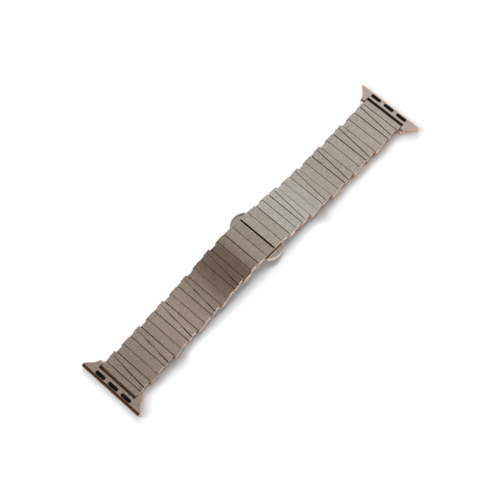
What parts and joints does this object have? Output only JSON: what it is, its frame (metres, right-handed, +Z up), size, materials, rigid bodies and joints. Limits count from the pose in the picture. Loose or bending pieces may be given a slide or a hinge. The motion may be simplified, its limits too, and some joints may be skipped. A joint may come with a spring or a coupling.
{
  "type": "metal watch bracelet",
  "caption": "Metal watch bracelet of straight and wedge-shaped bars on hinge pins, lying flat over its closed folding clasp, with push buttons and a slide-in lug at each end.",
  "frame": {"origin": "on the table, under the middle of the whole bracelet", "axes": "+X along the band from the left lug to the right lug, +Y across the band, +Z up from the table"},
  "size_m": [0.1792, 0.0324, 0.0116],
  "materials": {
    "satin_metal": "fine lengthwise brush on the tops, polished sides, champagne grey",
    "polished_metal": "polished, champagne grey",
    "pin_steel": "drawn wire",
    "black_plastic": "smooth black pads and catch"
  },
  "bodies": {
    "clasp_base": {"clasp_base": "polished_metal", "clasp_pins": "pin_steel", "lock_housing": "polished_metal", "push_button_springs": "pin_steel"},
    "left_blade": {"left_blade": "polished_metal"},
    "left_cover": {"left_cover": "satin_metal"},
    "left_link_01": {"left_link_01": "satin_metal"},
    "left_link_02": {"left_link_02": "satin_metal"},
    "left_link_03": {"left_link_03": "satin_metal"},
    "left_link_04": {"left_link_04": "satin_metal"},
    "left_link_05": {"left_link_05": "satin_metal"},
    "left_link_06": {"left_link_06": "satin_metal"},
    "left_link_07": {"left_link_07": "satin_metal"},
    "left_link_08": {"left_link_08": "satin_metal"},
    "left_link_09": {"left_link_09": "satin_metal"},
    "left_link_10": {"left_link_10": "satin_metal"},
    "left_link_11": {"left_link_11": "satin_metal"},
    "left_link_12": {"left_link_12": "satin_metal"},
    "left_link_13": {"left_link_13": "satin_metal"},
    "left_link_14": {"left_link_14": "satin_metal"},
    "left_link_15": {"left_link_15": "satin_metal"},
    "left_link_16": {"left_link_16": "satin_metal"},
    "left_link_17": {"left_link_17": "satin_metal"},
    "left_link_18": {"left_link_18": "satin_metal"},
    "left_link_19": {"left_link_19": "satin_metal"},
    "left_link_20": {"left_link_20": "satin_metal"},
    "left_end_link": {"left_end_link": "satin_metal"},
    "left_lug": {"left_lug": "satin_metal", "left_lug_pads": "black_plastic", "left_catch_spring": "pin_steel"},
    "left_lug_catch": {"left_lug_catch": "black_plastic"},
    "right_blade": {"right_blade": "polished_metal"},
    "right_cover": {"right_cover": "satin_metal"},
    "right_link_01": {"right_link_01": "satin_metal"},
    "right_link_02": {"right_link_02": "satin_metal"},
    "right_link_03": {"right_link_03": "satin_metal"},
    "right_link_04": {"right_link_04": "satin_metal"},
    "right_link_05": {"right_link_05": "satin_metal"},
    "right_link_06": {"right_link_06": "satin_metal"},
    "right_link_07": {"right_link_07": "satin_metal"},
    "right_link_08": {"right_link_08": "satin_metal"},
    "right_link_09": {"right_link_09": "satin_metal"},
    "right_link_10": {"right_link_10": "satin_metal"},
    "right_link_11": {"right_link_11": "satin_metal"},
    "right_link_12": {"right_link_12": "satin_metal"},
    "right_link_13": {"right_link_13": "satin_metal"},
    "right_link_14": {"right_link_14": "satin_metal"},
    "right_link_15": {"right_link_15": "satin_metal"},
    "right_link_16": {"right_link_16": "satin_metal"},
    "right_link_17": {"right_link_17": "satin_metal"},
    "right_link_18": {"right_link_18": "satin_metal"},
    "right_link_19": {"right_link_19": "satin_metal"},
    "right_link_20": {"right_link_20": "satin_metal"},
    "right_end_link": {"right_end_link": "satin_metal"},
    "right_lug": {"right_lug": "satin_metal", "right_lug_pads": "black_plastic", "right_catch_spring": "pin_steel"},
    "right_lug_catch": {"right_lug_catch": "black_plastic"},
    "front_push_button": {"front_push_button": "polished_metal"},
    "rear_push_button": {"rear_push_button": "polished_metal"}
  },
  "joints": [
    {"name": "left_blade_hinge", "type": "hinge", "parent": "clasp_base", "child": "left_blade", "pos_m": [-0.01804, 0, 0.00503], "axis": [0, -1, 0], "range_deg": [0, 150]},
    {"name": "left_cover_hinge", "type": "hinge", "parent": "left_blade", "child": "left_cover", "pos_m": [-0.00259, 0, 0.0085], "axis": [0, -1, 0], "range_deg": [-150, 0]},
    {"name": "left_link_01_hinge", "type": "hinge", "parent": "left_cover", "child": "left_link_01", "pos_m": [-0.00957, 0, 0.01007], "axis": [0, 1, 0], "range_deg": [-0.42, 11.58]},
    {"name": "left_link_02_hinge", "type": "hinge", "parent": "left_link_01", "child": "left_link_02", "pos_m": [-0.01381, 0, 0.00981], "axis": [0, 1, 0], "range_deg": [-2.22, 9.78]},
    {"name": "left_link_03_hinge", "type": "hinge", "parent": "left_link_02", "child": "left_link_03", "pos_m": [-0.01812, 0, 0.00918], "axis": [0, 1, 0], "range_deg": [-4.24, 7.76]},
    {"name": "left_link_04_hinge", "type": "hinge", "parent": "left_link_03", "child": "left_link_04", "pos_m": [-0.02091, 0, 0.00863], "axis": [0, 1, 0], "range_deg": [-5.72, 6.28]},
    {"name": "left_link_05_hinge", "type": "hinge", "parent": "left_link_04", "child": "left_link_05", "pos_m": [-0.02394, 0, 0.00796], "axis": [0, 1, 0], "range_deg": [-6.1, 5.9]},
    {"name": "left_link_06_hinge", "type": "hinge", "parent": "left_link_05", "child": "left_link_06", "pos_m": [-0.02807, 0, 0.00698], "axis": [0, 1, 0], "range_deg": [-7.32, 4.68]},
    {"name": "left_link_07_hinge", "type": "hinge", "parent": "left_link_06", "child": "left_link_07", "pos_m": [-0.03231, 0, 0.006], "axis": [0, 1, 0], "range_deg": [-8.47, 3.52]},
    {"name": "left_link_08_hinge", "type": "hinge", "parent": "left_link_07", "child": "left_link_08", "pos_m": [-0.03511, 0, 0.00544], "axis": [0, 1, 0], "range_deg": [-8.29, 3.71]},
    {"name": "left_link_09_hinge", "type": "hinge", "parent": "left_link_08", "child": "left_link_09", "pos_m": [-0.03816, 0, 0.00488], "axis": [0, 1, 0], "range_deg": [-8.61, 3.39]},
    {"name": "left_link_10_hinge", "type": "hinge", "parent": "left_link_09", "child": "left_link_10", "pos_m": [-0.04236, 0, 0.00425], "axis": [0, 1, 0], "range_deg": [-8.28, 3.72]},
    {"name": "left_link_11_hinge", "type": "hinge", "parent": "left_link_10", "child": "left_link_11", "pos_m": [-0.04667, 0, 0.00369], "axis": [0, 1, 0], "range_deg": [-7.92, 4.08]},
    {"name": "left_link_12_hinge", "type": "hinge", "parent": "left_link_11", "child": "left_link_12", "pos_m": [-0.04951, 0, 0.00337], "axis": [0, 1, 0], "range_deg": [-7.76, 4.24]},
    {"name": "left_link_13_hinge", "type": "hinge", "parent": "left_link_12", "child": "left_link_13", "pos_m": [-0.05259, 0, 0.00307], "axis": [0, 1, 0], "range_deg": [-7.42, 4.58]},
    {"name": "left_link_14_hinge", "type": "hinge", "parent": "left_link_13", "child": "left_link_14", "pos_m": [-0.05682, 0, 0.00268], "axis": [0, 1, 0], "range_deg": [-7.47, 4.53]},
    {"name": "left_link_15_hinge", "type": "hinge", "parent": "left_link_14", "child": "left_link_15", "pos_m": [-0.06116, 0, 0.00232], "axis": [0, 1, 0], "range_deg": [-7.39, 4.61]},
    {"name": "left_link_16_hinge", "type": "hinge", "parent": "left_link_15", "child": "left_link_16", "pos_m": [-0.064, 0, 0.0021], "axis": [0, 1, 0], "range_deg": [-7.34, 4.66]},
    {"name": "left_link_17_hinge", "type": "hinge", "parent": "left_link_16", "child": "left_link_17", "pos_m": [-0.06709, 0, 0.00188], "axis": [0, 1, 0], "range_deg": [-7.51, 4.49]},
    {"name": "left_link_18_hinge", "type": "hinge", "parent": "left_link_17", "child": "left_link_18", "pos_m": [-0.07133, 0, 0.00162], "axis": [0, 1, 0], "range_deg": [-7.6, 4.4]},
    {"name": "left_link_19_hinge", "type": "hinge", "parent": "left_link_18", "child": "left_link_19", "pos_m": [-0.07568, 0, 0.0014], "axis": [0, 1, 0], "range_deg": [-7.8, 4.2]},
    {"name": "left_link_20_hinge", "type": "hinge", "parent": "left_link_19", "child": "left_link_20", "pos_m": [-0.07853, 0, 0.0013], "axis": [0, 1, 0], "range_deg": [-8.27, 3.73]},
    {"name": "left_end_link_hinge", "type": "hinge", "parent": "left_link_20", "child": "left_end_link", "pos_m": [-0.08163, 0, 0.00125], "axis": [0, 1, 0], "range_deg": [-7.85, 4.15]},
    {"name": "left_lug_hinge", "type": "hinge", "parent": "left_end_link", "child": "left_lug", "pos_m": [-0.08373, 0, 0.00125], "axis": [0, 1, 0], "range_deg": [-25, 12]},
    {"name": "left_catch_slide", "type": "slide", "parent": "left_lug", "child": "left_lug_catch", "axis": [0, 0, -1], "range_m": [0, 0.0005], "stiffness_N_per_m": 500, "springref_m": -0.0004, "deforming": ["left_catch_spring"]},
    {"name": "right_blade_hinge", "type": "hinge", "parent": "clasp_base", "child": "right_blade", "pos_m": [0.01697, 0, 0.00135], "axis": [0, 1, 0], "range_deg": [0, 150]},
    {"name": "right_cover_hinge", "type": "hinge", "parent": "right_blade", "child": "right_cover", "pos_m": [0.00258, 0, 0.00795], "axis": [0, 1, 0], "range_deg": [-150, 0]},
    {"name": "right_link_01_hinge", "type": "hinge", "parent": "right_cover", "child": "right_link_01", "pos_m": [0.00973, 0, 0.00805], "axis": [0, -1, 0], "range_deg": [-1.04, 10.96]},
    {"name": "right_link_02_hinge", "type": "hinge", "parent": "right_link_01", "child": "right_link_02", "pos_m": [0.01394, 0, 0.00692], "axis": [0, -1, 0], "range_deg": [-4.29, 7.71]},
    {"name": "right_link_03_hinge", "type": "hinge", "parent": "right_link_02", "child": "right_link_03", "pos_m": [0.01799, 0, 0.00563], "axis": [0, -1, 0], "range_deg": [-6.51, 5.49]},
    {"name": "right_link_04_hinge", "type": "hinge", "parent": "right_link_03", "child": "right_link_04", "pos_m": [0.02093, 0, 0.00467], "axis": [0, -1, 0], "range_deg": [-8.87, 3.13]},
    {"name": "right_link_05_hinge", "type": "hinge", "parent": "right_link_04", "child": "right_link_05", "pos_m": [0.02367, 0, 0.00387], "axis": [0, -1, 0], "range_deg": [-9.31, 2.69]},
    {"name": "right_link_06_hinge", "type": "hinge", "parent": "right_link_05", "child": "right_link_06", "pos_m": [0.02789, 0, 0.00282], "axis": [0, -1, 0], "range_deg": [-10.11, 1.89]},
    {"name": "right_link_07_hinge", "type": "hinge", "parent": "right_link_06", "child": "right_link_07", "pos_m": [0.03206, 0, 0.00202], "axis": [0, -1, 0], "range_deg": [-10.79, 1.21]},
    {"name": "right_link_08_hinge", "type": "hinge", "parent": "right_link_07", "child": "right_link_08", "pos_m": [0.03514, 0, 0.00163], "axis": [0, -1, 0], "range_deg": [-9.38, 2.62]},
    {"name": "right_link_09_hinge", "type": "hinge", "parent": "right_link_08", "child": "right_link_09", "pos_m": [0.03798, 0, 0.0014], "axis": [0, -1, 0], "range_deg": [-9.89, 2.11]},
    {"name": "right_link_10_hinge", "type": "hinge", "parent": "right_link_09", "child": "right_link_10", "pos_m": [0.04233, 0, 0.00126], "axis": [0, -1, 0], "range_deg": [-8.64, 3.36]},
    {"name": "right_link_11_hinge", "type": "hinge", "parent": "right_link_10", "child": "right_link_11", "pos_m": [0.04658, 0, 0.00125], "axis": [0, -1, 0], "range_deg": [-7.17, 4.83]},
    {"name": "right_link_12_hinge", "type": "hinge", "parent": "right_link_11", "child": "right_link_12", "pos_m": [0.04967, 0, 0.00125], "axis": [0, -1, 0], "range_deg": [-7, 5]},
    {"name": "right_link_13_hinge", "type": "hinge", "parent": "right_link_12", "child": "right_link_13", "pos_m": [0.05253, 0, 0.00125], "axis": [0, -1, 0], "range_deg": [-7, 5]},
    {"name": "right_link_14_hinge", "type": "hinge", "parent": "right_link_13", "child": "right_link_14", "pos_m": [0.05688, 0, 0.00125], "axis": [0, -1, 0], "range_deg": [-7, 5]},
    {"name": "right_link_15_hinge", "type": "hinge", "parent": "right_link_14", "child": "right_link_15", "pos_m": [0.06113, 0, 0.00125], "axis": [0, -1, 0], "range_deg": [-7, 5]},
    {"name": "right_link_16_hinge", "type": "hinge", "parent": "right_link_15", "child": "right_link_16", "pos_m": [0.06423, 0, 0.00125], "axis": [0, -1, 0], "range_deg": [-7, 5]},
    {"name": "right_link_17_hinge", "type": "hinge", "parent": "right_link_16", "child": "right_link_17", "pos_m": [0.06708, 0, 0.00125], "axis": [0, -1, 0], "range_deg": [-7, 5]},
    {"name": "right_link_18_hinge", "type": "hinge", "parent": "right_link_17", "child": "right_link_18", "pos_m": [0.07143, 0, 0.00125], "axis": [0, -1, 0], "range_deg": [-7, 5]},
    {"name": "right_link_19_hinge", "type": "hinge", "parent": "right_link_18", "child": "right_link_19", "pos_m": [0.07568, 0, 0.00125], "axis": [0, -1, 0], "range_deg": [-7, 5]},
    {"name": "right_link_20_hinge", "type": "hinge", "parent": "right_link_19", "child": "right_link_20", "pos_m": [0.07877, 0, 0.00125], "axis": [0, -1, 0], "range_deg": [-7, 5]},
    {"name": "right_end_link_hinge", "type": "hinge", "parent": "right_link_20", "child": "right_end_link", "pos_m": [0.08163, 0, 0.00125], "axis": [0, -1, 0], "range_deg": [-7, 5]},
    {"name": "right_lug_hinge", "type": "hinge", "parent": "right_end_link", "child": "right_lug", "pos_m": [0.08373, 0, 0.00125], "axis": [0, -1, 0], "range_deg": [-25, 12]},
    {"name": "right_catch_slide", "type": "slide", "parent": "right_lug", "child": "right_lug_catch", "axis": [0, 0, -1], "range_m": [0, 0.0005], "stiffness_N_per_m": 500, "springref_m": -0.0004, "deforming": ["right_catch_spring"]},
    {"name": "front_push_button_slide", "type": "slide", "parent": "clasp_base", "child": "front_push_button", "axis": [0, 1, 0], "range_m": [0, 0.0009], "stiffness_N_per_m": 500, "springref_m": -0.0006, "deforming": ["push_button_springs"]},
    {"name": "rear_push_button_slide", "type": "slide", "parent": "clasp_base", "child": "rear_push_button", "axis": [0, -1, 0], "range_m": [0, 0.0009], "stiffness_N_per_m": 500, "springref_m": -0.0006}
  ],
  "couplings": [
    {"joint": "left_cover_hinge", "follows": "left_blade_hinge", "ratio": -1},
    {"joint": "right_cover_hinge", "follows": "right_blade_hinge", "ratio": -1}
  ]
}
